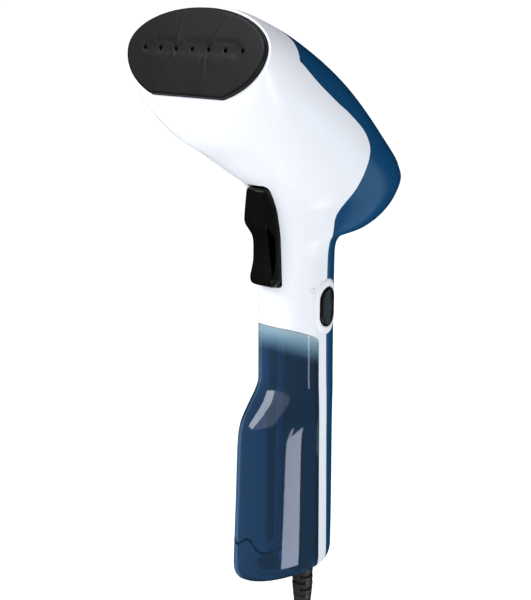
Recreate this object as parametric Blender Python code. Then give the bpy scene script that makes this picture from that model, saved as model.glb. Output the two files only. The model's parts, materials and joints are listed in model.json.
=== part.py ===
"""Handheld garment steamer with a detachable front tank and a hanging, tied mains lead.

Distances are in millimetres and heights are counted from the tank's underside until world() turns
them into metres about the centre of the grip. +X is the power button's side, -Y is the side that the
steam plate faces, +Z is up.
"""
import math

import bmesh
import bpy
from mathutils import Vector

# ---------------------------------------------------------------- driving dimensions (mm)
MM = 0.001
GRIP_HEIGHT = 185.0           # grip centre above the tank's underside: the part's origin
GAP = 0.3                     # running and parting gaps between pieces
WALL = 2.2                    # housing wall
TANK_WALL = 1.8
RING_POINTS = 28              # points round one section of the body
STATION_STEPS = 2             # sections per station of the body's table, down to the handle
HANDLE_STATION = 13

# Body: sections on chords from the front or underside line to the rear or top line.
# front y, front z, rear y, rear z, half width, widest place, front power, rear power, flat depth
BODY = [
    (-80.7, 276.0, -68.5, 323.3, 53.0, 0.52, 2.00, 2.00, 4.2),
    (-78.7, 268.4, -60.0, 322.0, 52.6, 0.52, 2.00, 2.00, 4.0),
    (-69.4, 255.2, -40.0, 315.6, 51.0, 0.51, 2.05, 2.05, 2.0),
    (-54.5, 243.6, -11.5, 302.5, 46.4, 0.50, 2.10, 2.10, 0.0),
    (-42.8, 235.2, 20.5, 283.5, 40.5, 0.49, 2.10, 2.10, 0.0),
    (-29.8, 226.0, 54.5, 255.0, 33.5, 0.47, 2.10, 2.20, 0.0),
    (-27.0, 219.5, 76.5, 233.5, 29.5, 0.46, 2.10, 2.20, 0.0),
    (-25.5, 215.0, 80.8, 224.5, 28.0, 0.46, 2.10, 2.20, 0.0),
    (-24.5, 210.0, 75.5, 214.3, 27.0, 0.46, 2.10, 2.20, 0.0),
    (-23.7, 205.0, 62.0, 204.0, 25.5, 0.46, 2.10, 2.20, 0.0),
    (-23.2, 201.0, 45.0, 198.5, 24.0, 0.47, 2.05, 2.10, 0.0),
    (-23.0, 197.5, 29.0, 197.6, 22.5, 0.49, 2.00, 2.00, 0.0),
    (-23.0, 194.0, 23.6, 193.0, 21.3, 0.50, 2.00, 2.00, 0.0),
    (-23.0, 187.0, 23.0, 187.0, 20.5, 0.50, 2.00, 2.00, 0.0),
    (-23.0, 150.0, 23.0, 150.0, 20.0, 0.50, 2.00, 2.00, 0.0),
    (-23.0, 114.0, 23.0, 114.0, 20.3, 0.50, 2.00, 2.00, 0.0),
    (-25.0, 109.0, 23.0, 109.0, 20.5, 0.52, 2.00, 2.00, 0.0),
    (-39.5, 92.0, 23.0, 92.0, 21.0, 0.60, 2.00, 2.00, 0.0),
    (-41.8, 84.0, 23.0, 84.0, 21.0, 0.61, 2.00, 2.00, 0.0),
    (-44.0, 45.0, 23.0, 45.0, 21.3, 0.62, 2.00, 2.00, 0.0),
    (-46.0, 8.0, 22.5, 8.0, 21.5, 0.63, 2.00, 2.00, 0.0),
    (-44.8, 2.0, 19.0, 2.0, 20.5, 0.63, 2.00, 2.00, 0.0),
    (-42.0, 0.0, 15.0, 0.0, 18.5, 0.63, 2.00, 2.00, 0.0),
]
LAST_STATION = len(BODY) - 1

# Side outline (y, z) of everything in front of the seam between the white and the blue shell.
SEAM = [
    (6.0, -12.0), (4.0, 150.0), (4.2, 191.0), (4.0, 204.0), (4.4, 209.5), (7.0, 214.2),
    (16.0, 224.0), (21.6, 234.5), (24.4, 244.5), (22.0, 251.5), (14.6, 258.8), (-2.0, 268.6),
    (-13.4, 274.2), (-33.4, 285.6), (-48.6, 296.8), (-43.0, 305.5), (-42.0, 345.0),
    (-130.0, 345.0), (-130.0, -12.0),
]
# Side outline of the tank's space, in front of the spine and under the grip.
TANK_SPACE = [
    (-2.0, -12.0), (-2.0, 138.5), (-3.0, 140.9), (-6.0, 142.9), (-10.0, 144.6), (-16.0, 147.0),
    (-23.0, 149.0), (-70.0, 151.5), (-70.0, -12.0),
]
SPINE_WALL = 3.5              # wall between the tank and the space behind it

# Steam plate, in its own plane: x across, height above the row of holes, depth into the head.
PLATE_CENTRE = (-76.1, 301.8)
PLATE_TILT = math.radians(14.9)
PLATE_HALF_WIDTH = 51.0
PLATE_TOP = 21.0
PLATE_LOWER_RADIUS = 27.3
PLATE_FLAT = 23.3
ARC_POINTS = 7                # points on each quarter of the plate's outline
PLATE_PROUD = 0.5
PLATE_BACK = 6.0
PLATE_FACE = 1.5
HOLE_COUNT = 7
HOLE_PITCH = 12.1
HOLE_RADIUS = 1.1
RIM_WALL = 3.0                # thickness of the plate's turned-back edge
CHAMBER_INSET = 4.8           # chamber's outline inside the plate's
CHAMBER_FRONT = 3.6
CHAMBER_BACK = 17.0
HEATER_RADIUS = 3.2
HEATER_ROW = 10.0

# Controls
TRIGGER_HALF_WIDTH = 8.5
TRIGGER_HINGE = (-19.2, 221.5)
SIDE_PLAY = 0.4               # between the trigger and its slot
SLOT_LOW, SLOT_HIGH = 171.4, 229.2
SLOT_BACK = -17.5
SPRING_RADIUS = 2.0
TRIGGER = [
    (-33.0, 227.0), (-34.6, 219.0), (-36.0, 208.5), (-35.0, 206.3), (-27.9, 199.5), (-27.0, 195.0),
    (-27.0, 186.0), (-29.6, 176.5), (-29.2, 173.4), (-26.5, 172.0), (-19.4, 172.0), (-18.6, 190.0),
    (-17.6, 205.0), (-15.8, 216.0), (-15.8, 224.0), (-18.0, 227.0), (-25.0, 228.4),
]
BUTTON_CENTRE = (4.7, 158.5)
BUTTON_SIZE = (13.6, 22.6)
BEZEL_SIZE = (19.6, 32.0)
BUTTON_PROUD = 1.5
BEZEL_PROUD = 0.9
LENS_CENTRE = (19.1, -7.0, 169.8)       # on the grip's surface, beside the button
LENS_NORMAL = (0.96, -0.28, 0.0)
LENS_RADIUS = 1.3
LENS_DEPTH = 4.0

# Mains lead
CORD_RADIUS = 3.5
CORD_Y = 7.3
RELIEF_LENGTH = 40.0
RELIEF_RADIUS = 6.35
RELIEF_RIBS = 8
RELIEF_PITCH = 4.0
HANK_CENTRE = -151.5          # height of the hank's middle
HANK_STRAIGHT = 66.0          # straight stretch of each run
HANK_RADIUS = 38.5            # outside of the hank's round ends
HANK_LAYERS = 3
TAIL_SETTLED = 0.55           # share of the tail's run after which it keeps the hank's depth
PLUG_LENGTH = 44.0
PIN_SPACING = 19.0


# ---------------------------------------------------------------- shared tools
def world(x, y, z):
    """Millimetres above the tank's underside to metres about the grip's centre."""
    return Vector((x, y, z - GRIP_HEIGHT)) * MM


def in_head(x, depth, height):
    """A place given in the steam plate's plane, in body millimetres."""
    y = PLATE_CENTRE[0] + depth * math.cos(PLATE_TILT) + height * math.sin(PLATE_TILT)
    z = PLATE_CENTRE[1] - depth * math.sin(PLATE_TILT) + height * math.cos(PLATE_TILT)
    return (x, y, z)


def paint(obj, colour, roughness, metallic=0.0):
    material = bpy.data.materials.new(obj.name)
    material.use_nodes = True
    shader = material.node_tree.nodes["Principled BSDF"]
    shader.inputs["Base Color"].default_value = (*colour, 1.0)
    shader.inputs["Roughness"].default_value = roughness
    shader.inputs["Metallic"].default_value = metallic
    obj.data.materials.clear()
    obj.data.materials.append(material)
    return obj


def finish(name, bm, origin=(0.0, 0.0, GRIP_HEIGHT)):
    """Turns a bmesh in body millimetres into an object whose origin is the given place."""
    bmesh.ops.recalc_face_normals(bm, faces=bm.faces)
    start = world(*origin)
    for vert in bm.verts:
        vert.co = world(*vert.co) - start
    mesh = bpy.data.meshes.new(name)
    bm.to_mesh(mesh)
    bm.free()
    mesh.shade_smooth()
    mesh.set_sharp_from_angle(angle=math.radians(35))
    obj = bpy.data.objects.new(name, mesh)
    obj.location = start
    bpy.context.collection.objects.link(obj)
    return obj


def rings(name, loops, origin=(0.0, 0.0, GRIP_HEIGHT)):
    """Bridges a list of equal loops of points and caps both ends."""
    bm = bmesh.new()
    made = [[bm.verts.new(point) for point in loop] for loop in loops]
    for first, second in zip(made, made[1:]):
        for i in range(len(first)):
            j = (i + 1) % len(first)
            bm.faces.new((first[i], first[j], second[j], second[i]))
    bm.faces.new(made[0])
    bm.faces.new(list(reversed(made[-1])))
    return finish(name, bm, origin)


def side_prism(name, outline, x_low, x_high, **extra):
    """A side outline (y, z) extruded across the body."""
    return rings(name, [[(x, y, z) for y, z in outline] for x in (x_low, x_high)], **extra)


def head_prism(name, outline, depth_low, depth_high):
    """An outline (x, height) in the plate's plane, extruded into the head."""
    return rings(name, [[in_head(x, d, h) for x, h in outline] for d in (depth_low, depth_high)])


def block(name, low, high, **extra):
    outline = [(low[1], low[2]), (high[1], low[2]), (high[1], high[2]), (low[1], high[2])]
    return side_prism(name, outline, low[0], high[0], **extra)


def turned(name, base, direction, profile, sides=20, **extra):
    """A solid turned about a line: profile is (distance along the line, radius)."""
    base, direction = Vector(base), Vector(direction).normalized()
    across = direction.orthogonal().normalized()
    other = direction.cross(across)
    loops = []
    for along, radius in profile:
        centre = base + direction * along
        loop = []
        for i in range(sides):
            angle = 2 * math.pi * i / sides
            loop.append(centre + (across * math.cos(angle) + other * math.sin(angle)) * radius)
        loops.append(loop)
    return rings(name, loops, **extra)


def rod(name, start, end, radius, sides=16, **extra):
    line = Vector(end) - Vector(start)
    return turned(name, start, line, [(0.0, radius), (line.length, radius)], sides, **extra)


def collar(name, start, end, outer, inner, sides=24, **extra):
    """A straight ring with a bore."""
    line = Vector(end) - Vector(start)
    obj = rod(name, start, end, outer, sides, **extra)
    bore = rod(name + "_bore", Vector(start) - line, Vector(end) + line, inner, sides)
    carve(obj, "DIFFERENCE", bore)
    return obj


def pill(centre, size, corner_points=8):
    """Upright oblong outline with round ends."""
    radius = size[0] / 2
    straight = size[1] / 2 - radius
    outline = []
    for end in (1, -1):
        for i in range(corner_points + 1):
            angle = math.pi * i / corner_points
            y = centre[0] + end * radius * math.cos(angle)
            z = centre[1] + end * (straight + radius * math.sin(angle))
            outline.append((y, z))
    return outline


def grown(outline, distance):
    """Moves each corner of a closed outline outwards by about the given distance."""
    area = 0.0
    for (ay, az), (by, bz) in zip(outline, outline[1:] + outline[:1]):
        area += ay * bz - by * az
    turn = math.copysign(1.0, area)
    moved = []
    for i, corner in enumerate(outline):
        here = Vector(corner)
        before = (here - Vector(outline[i - 1])).normalized()
        after = (Vector(outline[(i + 1) % len(outline)]) - here).normalized()
        normal_before = Vector((before.y, -before.x)) * turn
        normal_after = Vector((after.y, -after.x)) * turn
        normal = (normal_before + normal_after).normalized()
        moved.append(tuple(here + normal * distance / max(normal.dot(normal_after), 0.4)))
    return moved


def guide(obj):
    obj.hide_render = True
    obj.display_type = "WIRE"
    return obj


def carve(obj, operation, *tools):
    for tool in tools:
        guide(tool)
        modifier = obj.modifiers.new(tool.name, "BOOLEAN")
        modifier.operation = operation
        modifier.object = tool
        modifier.solver = "EXACT"
    return obj


def smooth_route(points, spacing):
    """Points at an even spacing on a Catmull-Rom curve through the given places."""
    places = [Vector(p) for p in points]
    places = [places[0] * 2 - places[1]] + places + [places[-1] * 2 - places[-2]]
    fine = []
    for a, b, c, d in zip(places, places[1:], places[2:], places[3:]):
        for i in range(20):
            t = i / 20
            fine.append(0.5 * (2 * b + (c - a) * t + (2 * a - 5 * b + 4 * c - d) * t * t
                               + (3 * b - a - 3 * c + d) * t ** 3))
    fine.append(places[-2])
    total = sum((q - p).length for p, q in zip(fine, fine[1:]))
    count = max(3, round(total / spacing))
    step = total / count
    route, walked = [fine[0]], 0.0
    for p, q in zip(fine, fine[1:]):
        stretch = (q - p).length
        while len(route) < count and walked + stretch >= step * len(route):
            route.append(p.lerp(q, (step * len(route) - walked) / stretch))
        walked += stretch
    route.append(fine[-1])
    return route


def tube(name, points, radius, spacing, resolution=1):
    """A bevelled curve with closed ends along a smooth route."""
    curve = bpy.data.curves.new(name, "CURVE")
    curve.dimensions = "3D"
    curve.bevel_depth = radius * MM
    curve.bevel_resolution = resolution
    curve.use_fill_caps = True
    route = smooth_route(points, spacing)
    spline = curve.splines.new("POLY")
    spline.points.add(len(route) - 1)
    for target, place in zip(spline.points, route):
        target.co = (*world(*place), 1.0)
    obj = bpy.data.objects.new(name, curve)
    bpy.context.collection.objects.link(obj)
    return obj


# ---------------------------------------------------------------- the body's skin
def between_stations(column, t):
    """Smooth value of one column of the body's table, without overshoot."""
    values = [row[column] for row in BODY]
    i = min(int(t), LAST_STATION - 1)

    def slope(k):
        if k == 0 or k == LAST_STATION:
            return values[min(k + 1, LAST_STATION)] - values[max(k - 1, 0)]
        before, after = values[k] - values[k - 1], values[k + 1] - values[k]
        return 0.0 if before * after <= 0 else 2 * before * after / (before + after)

    f = t - i
    start, end = values[i], values[i + 1]
    rise = end - start
    return (start + f * slope(i) + f * f * (3 * rise - 2 * slope(i) - slope(i + 1))
            + f ** 3 * (slope(i) + slope(i + 1) - 2 * rise))


def section(t, inset):
    """One closed loop round the body, moved inwards by inset."""
    row = [between_stations(column, t) for column in range(9)]
    front, rear = Vector(row[0:2]), Vector(row[2:4])
    chord = (rear - front).normalized()
    front, rear = front + chord * inset, rear - chord * inset
    length = (rear - front).length
    half_width = row[4] - inset
    widest, front_power, rear_power, flat = row[5:9]
    loop = []
    for i in range(RING_POINTS):
        angle = 2 * math.pi * i / RING_POINTS
        cosine, sine = math.cos(angle), math.sin(angle)
        power = front_power if cosine > 0 else rear_power
        reach = widest * length + flat if cosine > 0 else (1 - widest) * length
        along = widest * length - math.copysign(abs(cosine) ** (2 / power), cosine) * reach
        across = math.copysign(abs(sine) ** (2 / power), sine) * half_width
        place = front + chord * max(along, 0.0)
        loop.append((across, place.x, place.y))
    return loop


def skin(name, inset, t_low=0.0, t_high=LAST_STATION):
    places = [t_low]
    for i in range(1, LAST_STATION * STATION_STEPS):
        place = i / STATION_STEPS
        if t_low < place < t_high and (place <= HANDLE_STATION or place == int(place)):
            places.append(place)
    places.append(t_high)
    return rings(name, [section(t, inset) for t in places])


def plate_outline(grow=0.0):
    """D-shaped outline of the steam plate: two half ellipses, the lower one cut flat."""
    half_width = PLATE_HALF_WIDTH + grow
    lower = PLATE_LOWER_RADIUS + grow
    cut = math.asin((PLATE_FLAT + grow) / lower)
    outline = []
    for i in range(ARC_POINTS * 2 + 1):
        angle = math.pi * i / (ARC_POINTS * 2)
        outline.append((half_width * math.cos(angle), (PLATE_TOP + grow) * math.sin(angle)))
    for i in range(1, ARC_POINTS + 1):
        angle = math.pi + cut * i / ARC_POINTS
        outline.append((half_width * math.cos(angle), lower * math.sin(angle)))
    for i in range(ARC_POINTS):
        angle = -cut + cut * i / ARC_POINTS
        outline.append((half_width * math.cos(angle), lower * math.sin(angle)))
    return outline


# ---------------------------------------------------------------- pieces
WHITE = (0.86, 0.88, 0.93)
BLUE = (0.02, 0.10, 0.24)
TANK_BLUE = (0.03, 0.09, 0.20)
BLACK = (0.012, 0.012, 0.014)
CHARCOAL = (0.02, 0.021, 0.024)
STEEL = (0.55, 0.56, 0.58)
ALUMINIUM = (0.72, 0.73, 0.75)
COPPER = (0.62, 0.28, 0.14)
SILICONE = (0.75, 0.74, 0.70)
SCREW_HEIGHTS = (32.0, 76.0, 120.0)
RELIEF_NECK = 4.0
SPIGOT_Y = -12.0
SPIGOT_HOLE = 4.6             # radius of the hole for the tank's outlet
TANK_BASE = (-21.0, 15.0, 15.5)    # centre y, half width, half depth


def shells():
    """White front shell and blue rear shell, with their openings."""
    tank_space = side_prism("tank_space", TANK_SPACE, -60, 60)
    kept_clear = side_prism("spine_wall_line", grown(TANK_SPACE, SPINE_WALL), -60, 60)
    front_space = side_prism("front_of_seam", SEAM, -90, 90)
    seam_space = side_prism("front_of_seam_and_gap", grown(SEAM, GAP), -90, 90)
    cavity = skin("housing_cavity", WALL, 0.7, LAST_STATION - 1.0)
    carve(cavity, "DIFFERENCE", kept_clear)
    opening = head_prism("plate_opening", plate_outline(GAP), -8.0, PLATE_BACK + 1.0)
    relief_hole = rod("relief_hole", (0, CORD_Y, -6), (0, CORD_Y, 9), RELIEF_NECK + GAP)
    bezel_hole = side_prism("bezel_hole", grown(pill(BUTTON_CENTRE, BEZEL_SIZE), GAP), 8, 40)

    front = skin("front_shell", 0.0)
    carve(front, "INTERSECT", front_space)
    slot = block("trigger_slot", (-TRIGGER_HALF_WIDTH - SIDE_PLAY, -60, SLOT_LOW),
                 (TRIGGER_HALF_WIDTH + SIDE_PLAY, SLOT_BACK, SLOT_HIGH))
    spigot_hole = rod("spigot_hole", (0, SPIGOT_Y, 140), (0, SPIGOT_Y, 162), SPIGOT_HOLE)
    lens_hole = rod("lens_hole", *lens_line(8.0, 3.0), LENS_RADIUS + GAP, 16)
    carve(front, "DIFFERENCE", cavity, tank_space, opening, slot, bezel_hole, relief_hole,
          spigot_hole, lens_hole)
    rear = skin("rear_shell", 0.0)
    carve(rear, "DIFFERENCE", seam_space, cavity, bezel_hole, relief_hole)
    for number, height in enumerate(SCREW_HEIGHTS, 1):
        head_hole = rod(f"screw_head_hole_{number}", (0, -6, height), (0, 0.1, height), 3.3)
        shank_hole = rod(f"screw_hole_{number}", (0, -6, height), (0, 19, height), 1.8, 12)
        boss = rod(f"screw_boss_{number}", (0, 6.5, height), (0, 21.5, height), 3.6)
        carve(front, "DIFFERENCE", head_hole, shank_hole)
        carve(rear, "UNION", boss)
        carve(rear, "DIFFERENCE", shank_hole)
    paint(front, WHITE, 0.25)
    paint(rear, BLUE, 0.2)


def shell_screws():
    for number, height in enumerate(SCREW_HEIGHTS, 1):
        profile = [(0, 2.0), (0.3, 2.8), (1.5, 2.8), (1.5, 1.4), (18.5, 1.4), (19.5, 0.6)]
        screw = turned(f"shell_screw_{number}", (0, -1.6, height), (0, 1, 0), profile, 14)
        paint(screw, STEEL, 0.35, 1.0)


def steam_plate():
    plate = head_prism("steam_plate", plate_outline(), -PLATE_PROUD, PLATE_BACK)
    pocket = head_prism("plate_pocket", plate_outline(-RIM_WALL), PLATE_FACE - PLATE_PROUD, 12.0)
    carve(plate, "DIFFERENCE", pocket)
    for i in range(HOLE_COUNT):
        x = HOLE_PITCH * (i - (HOLE_COUNT - 1) / 2)
        hole = rod(f"steam_hole_{i + 1}", in_head(x, -8, 0), in_head(x, 8, 0), HOLE_RADIUS, 12)
        carve(plate, "DIFFERENCE", hole)
    paint(plate, CHARCOAL, 0.35)


def steam_chamber():
    gasket = head_prism("plate_gasket", plate_outline(-RIM_WALL - 0.4), 1.3, CHAMBER_FRONT - GAP)
    carve(gasket, "DIFFERENCE", head_prism("gasket_hole", plate_outline(-6.0), 0.0, 5.0))
    paint(gasket, SILICONE, 0.7)
    chamber = head_prism("steam_chamber", plate_outline(-CHAMBER_INSET), CHAMBER_FRONT,
                         CHAMBER_BACK)
    carve(chamber, "DIFFERENCE", head_prism("chamber_hollow", plate_outline(-12.0), 0.0, 9.0))
    paint(chamber, ALUMINIUM, 0.4, 1.0)
    screw_places = ((-34.5, 7.0), (-34.5, -7.0), (38.1, 5.5), (38.1, -5.5))
    for number, (x, height) in enumerate(screw_places, 1):
        start = in_head(x, CHAMBER_BACK + 2.0, height)
        hole = rod(f"chamber_hole_{number}", start, in_head(x, 0, height), 1.5, 12)
        carve(chamber, "DIFFERENCE", hole)
        outward = Vector(in_head(0, 0, 0)) - Vector(in_head(0, 1, 0))
        profile = [(0, 1.4), (0.3, 1.7), (1.7, 1.7), (1.7, 1.2), (17.4, 1.2)]
        paint(turned(f"chamber_screw_{number}", start, outward, profile, 12), STEEL, 0.35, 1.0)
    chamber_fittings(chamber)


def chamber_fittings(chamber):
    heater_depth = CHAMBER_BACK + GAP + HEATER_RADIUS
    route = [(-24.0, HEATER_ROW), (0.0, HEATER_ROW)]
    for i in range(9):
        angle = math.pi / 2 - math.pi * i / 8
        route.append((24 + HEATER_ROW * math.cos(angle), HEATER_ROW * math.sin(angle)))
    route += [(0.0, -HEATER_ROW), (-24.0, -HEATER_ROW)]
    heater = tube("heating_element", [in_head(x, heater_depth, h) for x, h in route],
                  HEATER_RADIUS, 5.0, 2)
    paint(heater, STEEL, 0.4, 1.0)
    thermostat = rod("thermostat", in_head(0, CHAMBER_BACK + GAP, 0), in_head(0, 24.5, 0), 5.8)
    paint(thermostat, BLACK, 0.5)
    fuse = rod("thermal_fuse", in_head(-22, 19.6, 0), in_head(-9, 19.6, 0), 2.0, 12)
    paint(fuse, ALUMINIUM, 0.35, 1.0)
    inlet_hole = rod("inlet_hole", in_head(18, 4, 0), in_head(18, 22, 0), 2.8, 12)
    carve(chamber, "DIFFERENCE", inlet_hole)
    profile = [(0, 2.5), (19, 2.5), (19.6, 2.9), (21, 2.3)]
    away = Vector(in_head(0, 1, 0)) - Vector(in_head(0, 0, 0))
    inlet = turned("chamber_inlet", in_head(18, 11, 0), away, profile, 14)
    paint(inlet, STEEL, 0.3, 1.0)
    shield_outline = []
    for i in range(28):
        angle = 2 * math.pi * i / 28
        shield_outline.append((38 * math.cos(angle), 14 * math.sin(angle)))
    shield = head_prism("heat_shield", shield_outline, 25.4, 26.4)
    shield_hole = rod("shield_hole", in_head(18, 22, 0), in_head(18, 30, 0), 3.4, 12)
    carve(shield, "DIFFERENCE", shield_hole)
    paint(shield, STEEL, 0.3, 1.0)


def pump_and_hoses():
    centre, forward = Vector((0, 17, 254)), Vector((0, -0.85, 0.53)).normalized()
    start = centre - forward * 28
    profile = [(0, 2.6), (8, 2.6), (8, 7.5), (48, 7.5), (48, 2.6), (56, 2.6)]
    paint(turned("pump_body", start, forward, profile, 20), SILICONE, 0.5)
    coil = collar("pump_coil", centre - forward * 11, centre + forward * 11, 14.0, 7.9)
    paint(coil, COPPER, 0.45, 0.6)
    front_end = centre + forward * 28.3
    rear_end = centre - forward * 28.3
    seat_top = (0, SPIGOT_Y, 160.4)
    inlet_route = [seat_top, (-1, SPIGOT_Y, 163.5), (-6, -7, 171), (-10, -1, 182), (-11, 1, 195),
                   (-12.5, 10, 206), (-12.5, 22, 209.5), (-8, 38, 213), (-3, 50, 219), (0, 52, 228),
                   tuple(rear_end - forward * 4), tuple(rear_end)]
    paint(tube("inlet_hose", inlet_route, 2.4, 4.0), SILICONE, 0.6)
    nipple = Vector(in_head(18, 32.4, 0))
    outlet_route = [tuple(front_end), tuple(front_end + forward * 5), (10, -27, 284),
                    in_head(18, 38.5, 0), tuple(nipple)]
    paint(tube("outlet_hose", outlet_route, 2.4, 4.0), SILICONE, 0.6)


def electrics():
    board = block("circuit_board", (-12.5, 9.0, 92), (12.5, 10.6, 138))
    carve(board, "DIFFERENCE", rod("board_hole", (0, 5, 120), (0, 15, 120), 4.0))
    paint(board, (0.03, 0.18, 0.08), 0.5)
    paint(block("board_relay", (-9, 2.2, 98), (4, 8.7, 112)), BLACK, 0.5)
    paint(block("power_switch", (2.0, -0.5, 151), (11.0, 9.5, 166)), BLACK, 0.5)
    paint(block("microswitch", (-3.2, -11.5, 184), (3.2, -3.0, 200)), BLACK, 0.5)
    paint(block("terminal_block", (-8, 8.0, 14), (8, 17.5, 26)), (0.8, 0.8, 0.78), 0.5)
    clamp = block("cord_clamp", (-9, 3.6, 8.4), (9, 12.6, 11.4))
    carve(clamp, "DIFFERENCE", rod("clamp_bore", (0, CORD_Y, 4), (0, CORD_Y, 16), CORD_RADIUS + GAP))
    paint(clamp, BLACK, 0.6)
    heater_depth = CHAMBER_BACK + GAP + HEATER_RADIUS
    colours = ((0.6, 0.6, 0.58), (0.1, 0.2, 0.5))
    bends = ([(-31, -28, 286), (-26, 0, 262), (-20, 11, 236)],
             [(-27, -33, 268), (-22, -5, 247), (-13, 5, 234)])
    for number, (side, colour, bend) in enumerate(zip((1, -1), colours, bends), 1):
        x = -8.0 * side
        height = HEATER_ROW * side
        route = [in_head(-24.4, heater_depth, height), in_head(-29, heater_depth, height),
                 in_head(-33, 27, height)]
        route += bend + [(x, 14.5, 208), (x, 15, 190), (x, 15, 110), (x, 15, 26.4)]
        paint(tube(f"heater_lead_{number}", route, 1.2, 6.0), colour, 0.5)


def lens_line(inwards, outwards):
    """Two places on the indicator lens's axis, inside and outside the grip's surface."""
    centre, normal = Vector(LENS_CENTRE), Vector(LENS_NORMAL).normalized()
    return centre - normal * inwards, centre + normal * outwards


def indicator_lens():
    base, tip = lens_line(LENS_DEPTH, 0.2)
    lens = rod("indicator_lens", base, tip, LENS_RADIUS, 16)
    paint(lens, SILICONE, 0.3)


def controls():
    origin = (0, *TRIGGER_HINGE)
    trigger = side_prism("trigger", TRIGGER, -TRIGGER_HALF_WIDTH, TRIGGER_HALF_WIDTH, origin=origin)
    pin_hole = rod("trigger_pin_hole", (-20, *TRIGGER_HINGE), (20, *TRIGGER_HINGE), 1.8, 16)
    carve(trigger, "DIFFERENCE", pin_hole)
    paint(trigger, BLACK, 0.3)
    pin = rod("trigger_pin", (-11.5, *TRIGGER_HINGE), (11.5, *TRIGGER_HINGE), 1.4, 16)
    paint(pin, STEEL, 0.3, 1.0)
    spring_route = []
    for i in range(33):
        angle = 2 * math.pi * i / 8
        spring_route.append((9.3 + 1.9 * i / 32, TRIGGER_HINGE[0] + SPRING_RADIUS * math.cos(angle),
                             TRIGGER_HINGE[1] + SPRING_RADIUS * math.sin(angle)))
    paint(tube("trigger_spring", spring_route, 0.3, 1.6, 0), STEEL, 0.3, 1.0)

    button = side_prism("power_button", pill(BUTTON_CENTRE, BUTTON_SIZE), 12.5, 40,
                        origin=(12.5, *BUTTON_CENTRE))
    carve(button, "INTERSECT", skin("button_dome", -BUTTON_PROUD, 12.0, 16.0))
    paint(button, BLACK, 0.3)
    bezel = side_prism("button_bezel", pill(BUTTON_CENTRE, BEZEL_SIZE), 10, 40)
    carve(bezel, "INTERSECT", skin("bezel_dome", -BEZEL_PROUD, 12.0, 16.0))
    bezel_bore = side_prism("bezel_bore", grown(pill(BUTTON_CENTRE, BUTTON_SIZE), GAP), 0, 50)
    bezel_back = skin("bezel_back", WALL + 1.2, 12.0, 16.0)
    carve(bezel, "DIFFERENCE", bezel_bore, bezel_back)
    paint(bezel, WHITE, 0.25)


def upright(name, outline, z_low, z_high, **extra):
    """An outline (x, y) extruded upwards."""
    return rings(name, [[(x, y, z) for x, y in outline] for z in (z_low, z_high)], **extra)


def tank():
    """Removable water tank: body, glued-in base, filler plug, outlet and pickup."""
    shell = skin("tank_shell", 0.0, 13.5)
    room = side_prism("tank_room", grown(TANK_SPACE, -GAP), -60, 60)
    carve(shell, "INTERSECT", room)
    hollow = skin("tank_hollow", TANK_WALL, 13.5, LAST_STATION - 1.2)
    inner_room = side_prism("tank_inner_room", grown(TANK_SPACE, -GAP - TANK_WALL), -60, 60)
    carve(hollow, "INTERSECT", inner_room)
    spigot_hole = rod("tank_spigot_hole", (0, SPIGOT_Y, 130), (0, SPIGOT_Y, 170), 3.3)
    base_cut = upright("tank_mouth", oval(TANK_BASE, GAP), -5.0, 8.0)
    carve(shell, "DIFFERENCE", hollow, base_cut, spigot_hole)
    paint(shell, TANK_BLUE, 0.08)
    base = upright("tank_base", oval(TANK_BASE), 0.2, 3.8)
    filler_y = TANK_BASE[0] - 1.0
    carve(base, "DIFFERENCE", rod("filler_hole", (0, filler_y, -3), (0, filler_y, 9), 6.0, 24),
          rod("filler_recess", (0, filler_y, -3), (0, filler_y, 1.8), 8.3, 24))
    paint(base, TANK_BLUE, 0.15)
    plug_profile = [(0, 7.6), (0.4, 8.0), (1.25, 8.0), (1.25, 5.7), (6.2, 5.7), (7.0, 5.0)]
    plug = turned("filler_plug", (0, filler_y, 0.25), (0, 0, 1), plug_profile, 24,
                  origin=(0, filler_y, 0.25))
    paint(plug, BLACK, 0.6)
    outlet_profile = [(0, 3.0), (1.3, 3.0), (1.3, 4.8), (2.7, 4.8), (2.7, 3.0), (20.5, 3.0),
                      (21.3, 2.4)]
    outlet = turned("tank_outlet", (0, SPIGOT_Y, 138), (0, 0, 1), outlet_profile)
    paint(outlet, SILICONE, 0.5)
    seal = collar("tank_seal", (0, SPIGOT_Y, 149.7), (0, SPIGOT_Y, 151.8), 4.3, 3.3)
    paint(seal, BLACK, 0.7)
    seat = collar("valve_seat", (0, SPIGOT_Y, 154.2), (0, SPIGOT_Y, 160.0), 5.6, 3.5)
    paint(seat, BLACK, 0.5)
    pickup = rod("pickup_tube", (0, SPIGOT_Y, 137.7), (0, SPIGOT_Y - 3, 16), 2.0, 12)
    paint(pickup, SILICONE, 0.5)
    screen = turned("pickup_filter", (0, SPIGOT_Y - 3, 8.2), (0, 0, 1),
                    [(0, 3.6), (0.6, 4.2), (6.0, 4.2), (7.2, 2.4)], 16)
    paint(screen, SILICONE, 0.6)


def oval(base, grow=0.0, points=32):
    """Outline (x, y) of an oval given as centre y, half width, half depth."""
    outline = []
    for i in range(points):
        angle = 2 * math.pi * i / points
        outline.append(((base[1] + grow) * math.cos(angle),
                        base[0] + (base[2] + grow) * math.sin(angle)))
    return outline


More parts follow.
